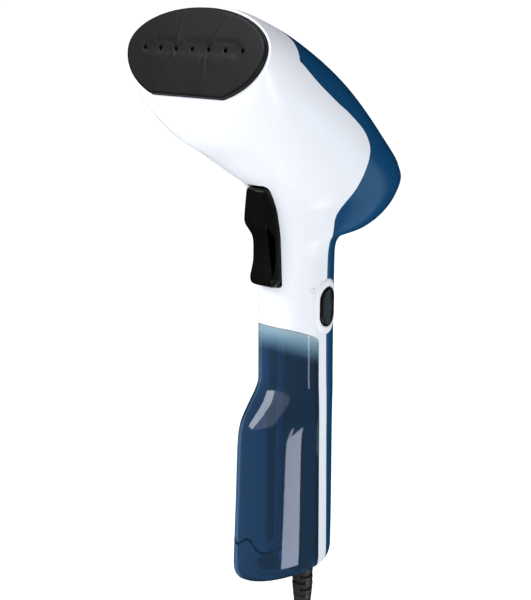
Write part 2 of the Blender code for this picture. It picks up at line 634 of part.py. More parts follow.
def strain_relief():
    """Jacket end, flange, neck through the base, then the ribbed sleeve below it."""
    profile = [(0, CORD_RADIUS), (9.3, CORD_RADIUS), (9.3, 5.4), (11.3, 5.4), (11.3, RELIEF_NECK)]
    top = 14.0
    profile += [(top, RELIEF_NECK), (top, RELIEF_RADIUS)]
    for rib in range(RELIEF_RIBS):
        start = top + 2.4 + rib * RELIEF_PITCH
        radius = RELIEF_RADIUS if rib < 5 else RELIEF_RADIUS - 0.55 * (rib - 4)
        groove = radius - 1.4
        profile += [(start, radius), (start, groove), (start + 1.6, groove)]
        after = RELIEF_RADIUS if rib < 4 else RELIEF_RADIUS - 0.55 * (rib - 3)
        profile += [(start + 1.6, after)]
    profile += [(13.7 + RELIEF_LENGTH, 4.4)]
    relief = turned("strain_relief", (0, CORD_Y, 13.7), (0, 0, -1), profile, 14)
    paint(relief, BLACK, 0.6)


def hank_outline(radius, corner_points=12):
    """Upright outline (x, z) with round ends."""
    outline = []
    for end in (0, 1):
        centre = HANK_CENTRE + (0.5 - end) * HANK_STRAIGHT
        for i in range(corner_points + 1):
            angle = math.pi * (end + i / corner_points)
            outline.append((radius * math.cos(angle), centre + radius * math.sin(angle)))
    return outline


def crossing(start_z, end_z, start_y, end_y, shift, settled, keep):
    """Places of a cord that sways by shift, its depth settled early, up to keep(x, z) turning false."""
    places = []
    for i in range(41):
        part = i / 40
        sway = (1 - math.cos(math.pi * part)) / 2
        sink = (1 - math.cos(math.pi * min(part / settled, 1.0))) / 2
        place = (shift * sway, start_y + (end_y - start_y) * sink, start_z + (end_z - start_z) * part)
        if not keep(place[0], place[2]):
            break
        places.append(place)
    return places


def mains_lead():
    """Lead down to a tied hank, the hank, its strap, the tail and the plug."""
    limb = HANK_RADIUS - CORD_RADIUS
    half_depth = HANK_LAYERS * CORD_RADIUS
    top_centre = HANK_CENTRE + HANK_STRAIGHT / 2
    low_centre = HANK_CENTRE - HANK_STRAIGHT / 2
    clear = HANK_RADIUS + CORD_RADIUS + GAP

    lead_top = -RELIEF_LENGTH - GAP
    upper = crossing(lead_top - 4.0, top_centre, CORD_Y, CORD_Y - 2 * CORD_RADIUS, limb, 1.0,
                     lambda x, z: math.hypot(x, z - top_centre) > clear)
    lead = tube("cord_lead", [(0, CORD_Y, lead_top)] + upper[::4], CORD_RADIUS, 8.0, 3)
    paint(lead, BLACK, 0.5)
    tail_end = 2 * HANK_CENTRE - (lead_top - 4.0)
    lower = crossing(tail_end, low_centre, CORD_Y, CORD_Y + 2 * CORD_RADIUS, limb, TAIL_SETTLED,
                     lambda x, z: math.hypot(x, z - low_centre) > clear)
    tail_low = tail_end - 4.0
    tail = tube("cord_tail", [(0, CORD_Y, tail_low)] + lower[::4], CORD_RADIUS, 8.0, 3)
    paint(tail, BLACK, 0.5)

    outline = hank_outline(HANK_RADIUS)
    hank = rings("cord_hank", [[(x, CORD_Y + y, z) for x, z in outline]
                               for y in (-half_depth, half_depth)])
    paint(hank, BLACK, 0.5)
    inner = GAP + HANK_RADIUS
    strap = block("cord_strap", (-inner - 1.8, CORD_Y - half_depth - GAP - 1.8, HANK_CENTRE - 8),
                  (inner + 1.8, CORD_Y + half_depth + GAP + 1.8, HANK_CENTRE + 8))
    strap_room = block("strap_room", (-inner, CORD_Y - half_depth - GAP, HANK_CENTRE - 20),
                       (inner, CORD_Y + half_depth + GAP, HANK_CENTRE + 20))
    carve(strap, "DIFFERENCE", strap_room)
    paint(strap, BLACK, 0.8)
    mains_plug(tail_low - GAP)


def mains_plug(top):
    """Round two-pin plug hanging with its pins down."""
    profile = [(0, 4.6), (10, 5.6), (13, 9.0), (20, 14.5), (26, 17.5), (29, 18.7), (43.4, 18.7),
               (PLUG_LENGTH, 18.1)]
    plug = turned("plug_body", (0, CORD_Y, top), (0, 0, -1), profile, 32)
    paint(plug, BLACK, 0.4)
    for number, side in enumerate((-1, 1), 1):
        x = side * PIN_SPACING / 2
        pin = turned(f"plug_pin_{number}", (x, CORD_Y, top - PLUG_LENGTH - GAP), (0, 0, -1),
                     [(0, 2.4), (17.6, 2.4), (19, 1.4)], 14)
        paint(pin, STEEL, 0.25, 1.0)


def build():
    for obj in list(bpy.data.objects):
        bpy.data.objects.remove(obj, do_unlink=True)
    shells()
    shell_screws()
    steam_plate()
    steam_chamber()
    pump_and_hoses()
    electrics()
    controls()
    indicator_lens()
    tank()
    strain_relief()
    mains_lead()


build()
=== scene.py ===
"""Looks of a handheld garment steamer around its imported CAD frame.

Heights are in millimetres above the tank's underside, as in the part's source, until world() turns
them into metres about the grip's centre. +X is the power button's side, -Y the steam plate's.
"""
import json
import math

import bmesh
import bpy
import numpy as np
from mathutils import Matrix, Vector

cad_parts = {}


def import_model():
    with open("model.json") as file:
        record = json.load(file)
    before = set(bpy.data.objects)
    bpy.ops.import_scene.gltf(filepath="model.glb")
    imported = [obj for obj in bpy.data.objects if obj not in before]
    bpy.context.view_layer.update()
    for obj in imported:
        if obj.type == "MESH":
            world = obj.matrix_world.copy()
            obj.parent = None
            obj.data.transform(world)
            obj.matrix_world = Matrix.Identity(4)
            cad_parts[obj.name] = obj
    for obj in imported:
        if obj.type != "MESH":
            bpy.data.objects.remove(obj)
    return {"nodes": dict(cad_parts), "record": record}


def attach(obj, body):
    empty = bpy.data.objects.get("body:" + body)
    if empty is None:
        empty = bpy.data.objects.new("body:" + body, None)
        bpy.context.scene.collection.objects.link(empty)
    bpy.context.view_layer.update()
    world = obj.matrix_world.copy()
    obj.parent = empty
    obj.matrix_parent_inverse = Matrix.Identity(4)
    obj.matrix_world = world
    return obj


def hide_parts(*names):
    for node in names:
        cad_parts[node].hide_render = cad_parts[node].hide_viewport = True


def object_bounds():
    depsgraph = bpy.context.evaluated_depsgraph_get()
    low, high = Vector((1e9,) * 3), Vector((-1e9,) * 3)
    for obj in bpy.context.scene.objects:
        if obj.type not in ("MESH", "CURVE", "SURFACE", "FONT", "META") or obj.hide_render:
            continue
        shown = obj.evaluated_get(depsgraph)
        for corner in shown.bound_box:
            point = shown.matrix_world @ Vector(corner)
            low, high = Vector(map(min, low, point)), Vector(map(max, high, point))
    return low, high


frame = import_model()
cad_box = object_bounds()

# ---------------------------------------------------------------- dimensions shared with the part (mm)
MM = 0.001
GRIP_HEIGHT = 185.0
GAP = 0.3
WALL = 2.2
TANK_WALL = 1.8
# front y, front z, rear y, rear z, half width, widest place, front power, rear power, flat depth
BODY = np.array([
    (-80.7, 276.0, -68.5, 323.3, 53.0, 0.52, 2.00, 2.00, 4.2),
    (-78.7, 268.4, -60.0, 322.0, 52.6, 0.52, 2.00, 2.00, 4.0),
    (-69.4, 255.2, -40.0, 315.6, 51.0, 0.51, 2.05, 2.05, 2.0),
    (-54.5, 243.6, -11.5, 302.5, 46.4, 0.50, 2.10, 2.10, 0.0),
    (-42.8, 235.2, 20.5, 283.5, 40.5, 0.49, 2.10, 2.10, 0.0),
    (-29.8, 226.0, 54.5, 255.0, 33.5, 0.47, 2.10, 2.20, 0.0),
    (-27.0, 219.5, 76.5, 233.5, 29.5, 0.46, 2.10, 2.20, 0.0),
    (-25.5, 215.0, 80.8, 224.5, 28.0, 0.46, 2.10, 2.20, 0.0),
    (-24.5, 210.0, 75.5, 214.3, 27.0, 0.46, 2.10, 2.20, 0.0),
    (-23.7, 205.0, 62.0, 204.0, 25.5, 0.46, 2.10, 2.20, 0.0),
    (-23.2, 201.0, 45.0, 198.5, 24.0, 0.47, 2.05, 2.10, 0.0),
    (-23.0, 197.5, 29.0, 197.6, 22.5, 0.49, 2.00, 2.00, 0.0),
    (-23.0, 194.0, 23.6, 193.0, 21.3, 0.50, 2.00, 2.00, 0.0),
    (-23.0, 187.0, 23.0, 187.0, 20.5, 0.50, 2.00, 2.00, 0.0),
    (-23.0, 150.0, 23.0, 150.0, 20.0, 0.50, 2.00, 2.00, 0.0),
    (-23.0, 114.0, 23.0, 114.0, 20.3, 0.50, 2.00, 2.00, 0.0),
    (-25.0, 109.0, 23.0, 109.0, 20.5, 0.52, 2.00, 2.00, 0.0),
    (-39.5, 92.0, 23.0, 92.0, 21.0, 0.60, 2.00, 2.00, 0.0),
    (-41.8, 84.0, 23.0, 84.0, 21.0, 0.61, 2.00, 2.00, 0.0),
    (-44.0, 45.0, 23.0, 45.0, 21.3, 0.62, 2.00, 2.00, 0.0),
    (-46.0, 8.0, 22.5, 8.0, 21.5, 0.63, 2.00, 2.00, 0.0),
    (-44.8, 2.0, 19.0, 2.0, 20.5, 0.63, 2.00, 2.00, 0.0),
    (-42.0, 0.0, 15.0, 0.0, 18.5, 0.63, 2.00, 2.00, 0.0),
])
LAST_STATION = len(BODY) - 1
HANDLE_STATION = 13           # the stations from here down are level
GRIP_HALF_DEPTH = 23.0
# side outline (y, z) of all that is in front of the seam between the white and the blue shell
SEAM = [
    (6.0, -12.0), (4.0, 150.0), (4.2, 191.0), (4.0, 204.0), (4.4, 209.5), (7.0, 214.2),
    (16.0, 224.0), (21.6, 234.5), (24.4, 244.5), (22.0, 251.5), (14.6, 258.8), (-2.0, 268.6),
    (-13.4, 274.2), (-33.4, 285.6), (-48.6, 296.8), (-43.0, 305.5), (-42.0, 345.0),
    (-130.0, 345.0), (-130.0, -12.0),
]
SEAM_SMOOTH = (2, 14)         # stretch of the seam's corners that is one smooth curve
TANK_SPACE = [
    (-2.0, -12.0), (-2.0, 138.5), (-3.0, 140.9), (-6.0, 142.9), (-10.0, 144.6), (-16.0, 147.0),
    (-23.0, 149.0), (-70.0, 151.5), (-70.0, -12.0),
]
TANK_SMOOTH = (1, 6)
SPINE_WALL = 3.5
PLATE_CENTRE = (-76.1, 301.8)
PLATE_TILT = math.radians(14.9)
PLATE_HALF_WIDTH = 51.0
PLATE_TOP = 21.0
PLATE_LOWER_RADIUS = 27.3
PLATE_FLAT = 23.3
PLATE_PROUD = 0.5
PLATE_BACK = 6.0
HOLE_COUNT = 7
HOLE_PITCH = 12.1
HOLE_RADIUS = 1.1
BUTTON_CENTRE = (4.7, 158.5)
BUTTON_SIZE = (13.6, 22.6)
CORD_Y = 7.3
RELIEF_LENGTH = 40.0
RELIEF_RADIUS = 6.35
HANK_CENTRE = -151.5
HANK_STRAIGHT = 66.0
PLUG_LENGTH = 44.0


# ---------------------------------------------------------------- shared tools
def world(x, y, z):
    return Vector((x, y, z - GRIP_HEIGHT)) * MM


def in_head(x, depth, height):
    """A place given in the steam plate's plane, in body millimetres."""
    y = PLATE_CENTRE[0] + depth * math.cos(PLATE_TILT) + height * math.sin(PLATE_TILT)
    z = PLATE_CENTRE[1] - depth * math.sin(PLATE_TILT) + height * math.cos(PLATE_TILT)
    return (x, y, z)


def smoothstep(value, low=0.0, high=1.0):
    part = np.clip((value - low) / (high - low), 0.0, 1.0)
    return part * part * (3 - 2 * part)


def finish_mesh(name, bm, sharp=35.0):
    """Turns a bmesh in body millimetres into a smooth shaded object in metres."""
    bmesh.ops.recalc_face_normals(bm, faces=bm.faces)
    mesh = bpy.data.meshes.new(name)
    for vert in bm.verts:
        vert.co = world(*vert.co)
    bm.to_mesh(mesh)
    bm.free()
    mesh.shade_smooth()
    mesh.set_sharp_from_angle(angle=math.radians(sharp))
    obj = bpy.data.objects.new(name, mesh)
    bpy.context.scene.collection.objects.link(obj)
    return obj


def rings(name, loops, closed=False, sharp=35.0):
    """Bridges equal loops of points; the ends are capped, or joined when closed is true."""
    bm = bmesh.new()
    made = [[bm.verts.new(point) for point in loop] for loop in loops]
    pairs = list(zip(made, made[1:]))
    if closed:
        pairs.append((made[-1], made[0]))
    for first, second in pairs:
        for i in range(len(first)):
            j = (i + 1) % len(first)
            bm.faces.new((first[i], first[j], second[j], second[i]))
    if not closed:
        for end in (made[0], made[-1]):
            bm.faces.new(end)
    return finish_mesh(name, bm, sharp)


def side_prism(name, outline, x_low, x_high):
    return rings(name, [[(x, y, z) for y, z in outline] for x in (x_low, x_high)])


def head_prism(name, outline, depth_low, depth_high):
    return rings(name, [[in_head(x, d, h) for x, h in outline] for d in (depth_low, depth_high)])


def turned(name, base, direction, profile, sides=64, sharp=35.0):
    """A solid turned about a line: profile is (distance along the line, radius)."""
    base, direction = Vector(base), Vector(direction).normalized()
    across = direction.orthogonal().normalized()
    other = direction.cross(across)
    loops = []
    for along, radius in profile:
        centre = base + direction * along
        angles = [2 * math.pi * i / sides for i in range(sides)]
        loops.append([centre + (across * math.cos(a) + other * math.sin(a)) * radius for a in angles])
    return rings(name, loops, sharp=sharp)


def rod(name, start, end, radius, sides=40):
    line = Vector(end) - Vector(start)
    return turned(name, start, line, [(0.0, radius), (line.length, radius)], sides)


def fillet(points, radius, steps=6):
    """Rounds every corner of an open profile of 2-D points."""
    made = [tuple(points[0])]
    for before, corner, after in zip(points, points[1:], points[2:]):
        corner = Vector(corner)
        back, ahead = Vector(before) - corner, Vector(after) - corner
        reach = min(radius, back.length * 0.49, ahead.length * 0.49)
        start, end = corner + back.normalized() * reach, corner + ahead.normalized() * reach
        for i in range(steps + 1):
            t = i / steps
            made.append(tuple(start * (1 - t) ** 2 + corner * 2 * t * (1 - t) + end * t * t))
    made.append(tuple(points[-1]))
    return made


def rounded(outline, radius, steps=5):
    """Rounds every corner of a closed outline."""
    return [tuple(p) for p in fillet(outline + outline[:2], radius, steps)[steps + 1:-1]]


def smooth_curve(points, per_span=10):
    """Catmull-Rom points through the given 2-D or 3-D places."""
    places = [Vector(p) for p in points]
    places = [places[0] * 2 - places[1]] + places + [places[-1] * 2 - places[-2]]
    made = []
    for a, b, c, d in zip(places, places[1:], places[2:], places[3:]):
        for i in range(per_span):
            t = i / per_span
            made.append(0.5 * (2 * b + (c - a) * t + (2 * a - 5 * b + 4 * c - d) * t * t
                               + (3 * b - a - 3 * c + d) * t ** 3))
    made.append(places[-2])
    return made


def part_smooth(outline, span):
    """An outline whose corners from span[0] to span[1] lie on one smooth curve."""
    low, high = span
    middle = [tuple(p) for p in smooth_curve(outline[low:high + 1], 8)]
    return list(outline[:low]) + middle + list(outline[high + 1:])


def grown(outline, distance):
    """Moves each corner of a closed outline outwards by about the given distance."""
    area = sum(a[0] * b[1] - b[0] * a[1] for a, b in zip(outline, outline[1:] + outline[:1]))
    turn = math.copysign(1.0, area)
    moved = []
    for i, corner in enumerate(outline):
        here = Vector(corner)
        before = (here - Vector(outline[i - 1])).normalized()
        after = (Vector(outline[(i + 1) % len(outline)]) - here).normalized()
        normal_before = Vector((before.y, -before.x)) * turn
        normal_after = Vector((after.y, -after.x)) * turn
        normal = (normal_before + normal_after).normalized()
        moved.append(tuple(here + normal * distance / max(normal.dot(normal_after), 0.4)))
    return moved


def carve(obj, operation, *tools):
    """Applies Booleans one after another and removes their tools."""
    for tool in tools:
        modifier = obj.modifiers.new("cut", "BOOLEAN")
        modifier.operation = operation
        modifier.object = tool
        modifier.solver = "MANIFOLD"
    bake(obj)
    for tool in tools:
        bpy.data.objects.remove(tool)
    return obj


def bake(obj, sharp=35.0):
    """Replaces an object's mesh by what its modifiers make of it."""
    graph = bpy.context.evaluated_depsgraph_get()
    mesh = bpy.data.meshes.new_from_object(obj.evaluated_get(graph))
    obj.modifiers.clear()
    obj.data = mesh
    obj.data.shade_smooth()
    obj.data.set_sharp_from_angle(angle=math.radians(sharp))
    return obj


# ---------------------------------------------------------------- the body's skin
def station_row(t):
    """Smooth values of the body's table at t, without overshoot."""
    i = min(int(t), LAST_STATION - 1)

    def slope(k):
        if k == 0 or k == LAST_STATION:
            return BODY[min(k + 1, LAST_STATION)] - BODY[max(k - 1, 0)]
        before, after = BODY[k] - BODY[k - 1], BODY[k + 1] - BODY[k]
        total = before + after
        safe = np.where(np.abs(total) < 1e-9, 1.0, total)
        return np.where(before * after <= 0, 0.0, 2 * before * after / safe)

    f = t - i
    rise = BODY[i + 1] - BODY[i]
    return (BODY[i] + f * slope(i) + f * f * (3 * rise - 2 * slope(i) - slope(i + 1))
            + f ** 3 * (slope(i) + slope(i + 1) - 2 * rise))


def station_at(z):
    """Place in the body's table at a height on the handle or the tank."""
    stations = np.arange(HANDLE_STATION, LAST_STATION + 1)
    return float(np.interp(-z, -BODY[HANDLE_STATION:, 1], stations))


def section(t, inset=0.0, points=144):
    """One closed loop round the body, moved inwards by inset."""
    row = station_row(t)
    front, rear = np.array(row[0:2]), np.array(row[2:4])
    chord = (rear - front) / np.linalg.norm(rear - front)
    front, rear = front + chord * inset, rear - chord * inset
    length = np.linalg.norm(rear - front)
    half_width = row[4] - inset
    widest, front_power, rear_power, flat = row[5:9]
    angle = 2 * math.pi * np.arange(points) / points
    cosine, sine = np.cos(angle), np.sin(angle)
    power = np.where(cosine > 0, front_power, rear_power)
    reach = np.where(cosine > 0, widest * length + flat, (1 - widest) * length)
    along = widest * length - np.sign(cosine) * np.abs(cosine) ** (2 / power) * reach
    across = np.sign(sine) * np.abs(sine) ** (2 / power) * half_width
    along = np.maximum(along, 0.0)
    place = front + along[:, None] * chord
    return np.column_stack((across, place))


def skin(name, inset=0.0, t_low=0.0, t_high=LAST_STATION, points=144):
    places = [t_low]
    for i in range(1, LAST_STATION * 8):
        place = i / 8
        if t_low < place < t_high and (place <= HANDLE_STATION or i % 2 == 0):
            places.append(place)
    places.append(t_high)
    return rings(name, [section(t, inset, points) for t in places])


def plate_outline(grow=0.0, arc=24):
    """D-shaped outline of the steam plate: two half ellipses, the lower one cut flat."""
    half_width = PLATE_HALF_WIDTH + grow
    lower = PLATE_LOWER_RADIUS + grow
    cut = math.asin((PLATE_FLAT + grow) / lower)
    outline = []
    for i in range(arc * 2 + 1):
        angle = math.pi * i / (arc * 2)
        outline.append((half_width * math.cos(angle), (PLATE_TOP + grow) * math.sin(angle)))
    left = []
    for i in range(1, arc + 1):
        angle = math.pi + cut * i / arc
        left.append((half_width * math.cos(angle), lower * math.sin(angle)))
    right = [(-x, h) for x, h in reversed(left)]
    corner = 2.6 + 0.3 * grow
    flat = []
    steps = 12
    for i in range(1, steps):
        flat.append((left[-1][0] + (right[0][0] - left[-1][0]) * i / steps, left[-1][1]))
    turned_in = fillet([left[-2], left[-1], flat[0]], corner, 6)[1:-1]
    turned_out = [(-x, h) for x, h in reversed(turned_in)]
    return outline + left[:-1] + turned_in + flat + turned_out + right[1:]


# ---------------------------------------------------------------- camera, light and floor
FOCAL_LENGTH = 70.56          # mm on a 36 mm sensor
CAMERA_PLACE = (448.1, -472.8, 325.0)
CAMERA_AZIMUTH = math.radians(45.0)
CAMERA_PITCH = math.radians(14.26)


def camera():
    data = bpy.data.cameras.new("camera")
    data.lens = FOCAL_LENGTH
    data.sensor_width = 36.0
    data.clip_start = 0.01
    obj = bpy.data.objects.new("camera", data)
    obj.location = world(*CAMERA_PLACE)
    obj.rotation_euler = (math.pi / 2 - CAMERA_PITCH, 0.0, CAMERA_AZIMUTH)
    bpy.context.scene.collection.objects.link(obj)
    bpy.context.scene.camera = obj


def area_light(name, place, target, size, energy, colour=(1.0, 1.0, 1.0)):
    data = bpy.data.lights.new(name, "AREA")
    data.shape = "RECTANGLE"
    data.size, data.size_y = size
    data.energy = energy
    data.color = colour
    obj = bpy.data.objects.new(name, data)
    obj.location = place
    obj.rotation_euler = (Vector(target) - Vector(place)).to_track_quat("-Z", "Y").to_euler()
    bpy.context.scene.collection.objects.link(obj)
    return obj


def surroundings():
    """Colours shown as they are, and an even near-white world that doesn't show in reflections."""
    scene = bpy.context.scene
    scene.view_settings.view_transform = "Standard"
    scene.view_settings.look = "None"
    world_data = bpy.data.worlds.new("studio")
    world_data.use_nodes = True
    background = world_data.node_tree.nodes["Background"]
    background.inputs["Color"].default_value = (0.95, 0.97, 1.0, 1.0)
    background.inputs["Strength"].default_value = 0.76
    world_data.cycles_visibility.glossy = False
    scene.world = world_data


def lights():
    """Three soft lights, and cards that only show as reflections."""
    middle = (0.0, 0.0, 0.03)
    area_light("key_light", (-0.65, -1.15, 1.05), middle, (0.9, 0.8), 17.5)
    fill = area_light("fill_light", (0.25, -1.20, 0.45), middle, (0.9, 0.9), 2.8)
    fill.visible_glossy = False
    low_tank, neck = (0.02, -0.02, -0.12), (0.02, -0.01, -0.06)
    lavender, teal = (0.86, 0.88, 1.0), (0.55, 0.85, 1.0)
    cards = [
        area_light("strip_card", (0.60, 0.13, -0.385), low_tank, (0.23, 0.22), 1.15, lavender),
        area_light("neck_card", (0.615, 0.063, -0.235), neck, (0.045, 0.06), 0.05, lavender),
        area_light("beak_card", (0.36, 0.58, -0.22), (0.03, 0.03, 0.03), (0.35, 0.30), 0.35, teal),
        area_light("front_card", (0.24, -0.89, 0.69), low_tank, (1.9, 0.55), 4.0, lavender),
    ]
    for card in cards:
        card.visible_diffuse = False
    area_light("top_light", (0.1, 0.2, 1.5), middle, (1.2, 1.2), 2.0)


def pale_floor():
    """Wide, very shallow bowl that glows a little, so that it reads as white up to the horizon."""
    bm = bmesh.new()
    rise = 3.0
    bmesh.ops.create_cone(bm, cap_ends=False, segments=96, radius1=400.0, radius2=0.0, depth=rise)
    bmesh.ops.scale(bm, vec=(1.0, 1.0, -1.0), verts=bm.verts)
    bmesh.ops.translate(bm, vec=(0.0, 0.0, rise / 2), verts=bm.verts)
    mesh = bpy.data.meshes.new("floor")
    bm.to_mesh(mesh)
    bm.free()
    floor = bpy.data.objects.new("floor", mesh)
    floor.location.z = cad_box[0][2] - 0.002
    bpy.context.scene.collection.objects.link(floor)
    material = bpy.data.materials.new("floor")
    material.use_nodes = True
    shader = material.node_tree.nodes["Principled BSDF"]
    shader.inputs["Base Color"].default_value = (0.95, 0.95, 0.95, 1.0)
    shader.inputs["Roughness"].default_value = 0.9
    shader.inputs["Specular IOR Level"].default_value = 0.1
    shader.inputs["Emission Color"].default_value = (1.0, 1.0, 1.0, 1.0)
    shader.inputs["Emission Strength"].default_value = 0.38
    floor.data.materials.append(material)
    floor.visible_glossy = False


# ---------------------------------------------------------------- materials
class Nodes:
    """Short forms for building one material."""

    def __init__(self, name):
        self.material = bpy.data.materials.new(name)
        self.material.use_nodes = True
        self.tree = self.material.node_tree
        self.shader = self.tree.nodes["Principled BSDF"]
        place = self.tree.nodes.new("ShaderNodeTexCoord")
        self.place = place.outputs["Object"]

    def set(self, **values):
        for key, value in values.items():
            self.shader.inputs[key.replace("_", " ")].default_value = value

    def noise(self, scale, detail=3.0, stretch=None):
        source = self.place
        if stretch:
            mapping = self.tree.nodes.new("ShaderNodeMapping")
            mapping.inputs["Scale"].default_value = stretch
            self.tree.links.new(source, mapping.inputs["Vector"])
            source = mapping.outputs["Vector"]
        node = self.tree.nodes.new("ShaderNodeTexNoise")
        node.inputs["Scale"].default_value = scale
        node.inputs["Detail"].default_value = detail
        self.tree.links.new(source, node.inputs["Vector"])
        return node.outputs["Fac"]

    def ramp(self, source, *stops):
        node = self.tree.nodes.new("ShaderNodeValToRGB")
        elements = node.color_ramp.elements
        while len(elements) < len(stops):
            elements.new(0.5)
        for element, (position, colour) in zip(elements, stops):
            element.position = position
            element.color = (*colour, 1.0) if len(colour) == 3 else colour
        self.tree.links.new(source, node.inputs["Fac"])
        return node.outputs["Color"]

    def spread(self, source, low, high):
        node = self.tree.nodes.new("ShaderNodeMapRange")
        node.inputs["To Min"].default_value = low
        node.inputs["To Max"].default_value = high
        self.tree.links.new(source, node.inputs["Value"])
        return node.outputs["Result"]

    def link(self, source, socket):
        self.tree.links.new(source, self.shader.inputs[socket])

    def bump(self, source, depth_mm, strength=1.0):
        node = self.tree.nodes.new("ShaderNodeBump")
        node.inputs["Distance"].default_value = depth_mm * MM
        node.inputs["Strength"].default_value = strength
        self.tree.links.new(source, node.inputs["Height"])
        self.tree.links.new(node.outputs["Normal"], self.shader.inputs["Normal"])


def plastic(name, colour, roughness, shade=0.04, grain=0.01, shine=0.5, grain_scale=2600.0):
    """Moulded plastic: faint cloudiness in colour and gloss, and a fine moulded grain."""
    nodes = Nodes(name)
    dark = tuple(c * (1 - shade) for c in colour)
    nodes.link(nodes.ramp(nodes.noise(38.0), (0.3, dark), (0.7, colour)), "Base Color")
    nodes.link(nodes.spread(nodes.noise(90.0, 5.0), roughness * 0.88, roughness * 1.15), "Roughness")
    nodes.bump(nodes.noise(grain_scale, 2.0), grain)
    nodes.set(Specular_IOR_Level=shine)
    return nodes.material


def brushed_metal(name, colour, roughness):
    nodes = Nodes(name)
    nodes.set(Metallic=1.0)
    dark = tuple(c * 0.85 for c in colour)
    streaks = nodes.noise(60.0, 4.0, (1.0, 1.0, 18.0))
    nodes.link(nodes.ramp(streaks, (0.3, dark), (0.7, colour)), "Base Color")
    nodes.link(nodes.spread(streaks, roughness * 0.7, roughness * 1.3), "Roughness")
    nodes.bump(nodes.noise(900.0, 2.0, (1.0, 1.0, 8.0)), 0.01)
    return nodes.material


# painted light: the tank's upper end is painted pale between these heights
PAINTED_LIGHT_SLOPE = 0.45            # the lower limit of the pale painted light at the tank's top falls this much per mm to the rear
PAINTED_LIGHT_START = 111.0
PAINTED_LIGHT_END = 141.0


def tank_material(name):
    """Clear tinted plastic whose colour turns pale and less clear towards the tank's upper end: painted
    light, standing in for the lit white parts behind the tank showing through.
    """
    nodes = Nodes(name)
    slope = nodes.tree.nodes.new("ShaderNodeVectorMath")
    slope.operation = "DOT_PRODUCT"
    slope.inputs[1].default_value = (0.0, PAINTED_LIGHT_SLOPE, 1.0)
    nodes.tree.links.new(nodes.place, slope.inputs[0])
    height = nodes.tree.nodes.new("ShaderNodeMapRange")
    height.inputs["From Min"].default_value = (PAINTED_LIGHT_START - GRIP_HEIGHT) * MM
    height.inputs["From Max"].default_value = (PAINTED_LIGHT_END - GRIP_HEIGHT) * MM
    nodes.tree.links.new(slope.outputs["Value"], height.inputs["Value"])
    # the dark stops are the plastic's own tint; the pale stops are painted light at the tank's top
    tint_and_painted_light = nodes.ramp(height.outputs["Result"],
                      (0.0, (0.070, 0.155, 0.275)), (0.45, (0.072, 0.150, 0.270)),
                      (0.70, (0.26, 0.44, 0.57)), (1.0, (0.52, 0.68, 0.78)))
    nodes.link(tint_and_painted_light, "Base Color")
    clear = nodes.tree.nodes.new("ShaderNodeMapRange")
    clear.inputs["From Min"].default_value = 0.45
    clear.inputs["To Min"].default_value = 0.86
    clear.inputs["To Max"].default_value = 0.35
    nodes.tree.links.new(height.outputs["Result"], clear.inputs["Value"])
    nodes.link(clear.outputs["Result"], "Transmission Weight")
    nodes.set(IOR=1.45)
    nodes.link(nodes.spread(nodes.noise(70.0, 4.0), 0.03, 0.05), "Roughness")
    return nodes.material


def woven(name, colour):
    nodes = Nodes(name)
    weave = nodes.tree.nodes.new("ShaderNodeTexWave")
    weave.inputs["Scale"].default_value = 420.0
    weave.inputs["Distortion"].default_value = 1.5
    nodes.tree.links.new(nodes.place, weave.inputs["Vector"])
    light = tuple(c * 1.8 for c in colour)
    nodes.link(nodes.ramp(weave.outputs["Fac"], (0.2, colour), (0.8, light)), "Base Color")
    nodes.set(Roughness=0.9, Sheen_Weight=0.3)
    nodes.bump(weave.outputs["Fac"], 0.25)
    return nodes.material


def make_materials():
    return {
        "white_plastic": plastic("white_plastic", (0.78, 0.80, 0.85), 0.30, 0.02, 0.006, 0.4),
        "blue_plastic": plastic("blue_plastic", (0.004, 0.060, 0.160), 0.22, 0.10, 0.006, 0.25),
        "tank_plastic": tank_material("tank_plastic"),
        "black_plastic": plastic("black_plastic", (0.005, 0.0045, 0.004), 0.20, 0.25, 0.012, 0.2),
        "plate_coating": plastic("plate_coating", (0.0095, 0.0095, 0.0100), 0.38, 0.18, 0.02, 0.17,
                                 1800.0),
        "black_rubber": plastic("black_rubber", (0.030, 0.030, 0.031), 0.45, 0.2, 0.03, 0.5, 1500.0),
        "strap_fabric": woven("strap_fabric", (0.012, 0.012, 0.014)),
        "steel": brushed_metal("steel", (0.60, 0.61, 0.63), 0.28),
        "cast_aluminium": brushed_metal("cast_aluminium", (0.70, 0.71, 0.73), 0.45),
        "coil_copper": brushed_metal("coil_copper", (0.55, 0.24, 0.12), 0.4),
        "silicone": plastic("silicone", (0.66, 0.65, 0.60), 0.55, 0.08, 0.03),
        "natural_plastic": plastic("natural_plastic", (0.76, 0.79, 0.83), 0.35, 0.05, 0.01),
        "board_laminate": plastic("board_laminate", (0.02, 0.16, 0.07), 0.4, 0.2, 0.02),
        "lead_jacket": plastic("lead_jacket", (0.55, 0.55, 0.52), 0.55, 0.1, 0.03),
    }


def dress(obj, slot, body, *nodes):
    """Gives a piece the material named by its record slot and the body it rides on, and hides the nodes
    it replaces.
    """
    obj.data.materials.clear()
    obj.data.materials.append(materials[slot])
    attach(obj, body)
    if nodes:
        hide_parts(*nodes)
    return obj


# ---------------------------------------------------------------- mains lead
HANK_TOP = HANK_CENTRE + HANK_STRAIGHT / 2
HANK_LOW = HANK_CENTRE - HANK_STRAIGHT / 2
LEAD_TOP = -RELIEF_LENGTH
LEAD_DROP = 4.3               # straight stretch under the strain relief and above the plug
OUTER, MIDDLE, INNER = 35.0, 28.0, 21.0
FRONT, CENTRE, REAR = CORD_Y - 7.0, CORD_Y, CORD_Y + 7.0
TAIL_SETTLED = 0.55
CORD_THICKNESS = 6.8


def half_cosine(value):
    return (1 - math.cos(math.pi * min(max(value, 0.0), 1.0))) / 2


def cord_crossing(settled, steps=30):
    """Shares (sideways, in depth, down) of a run between the middle and the hank's side."""
    return [(half_cosine(i / steps), half_cosine(i / steps / settled), i / steps)
            for i in range(steps + 1)]


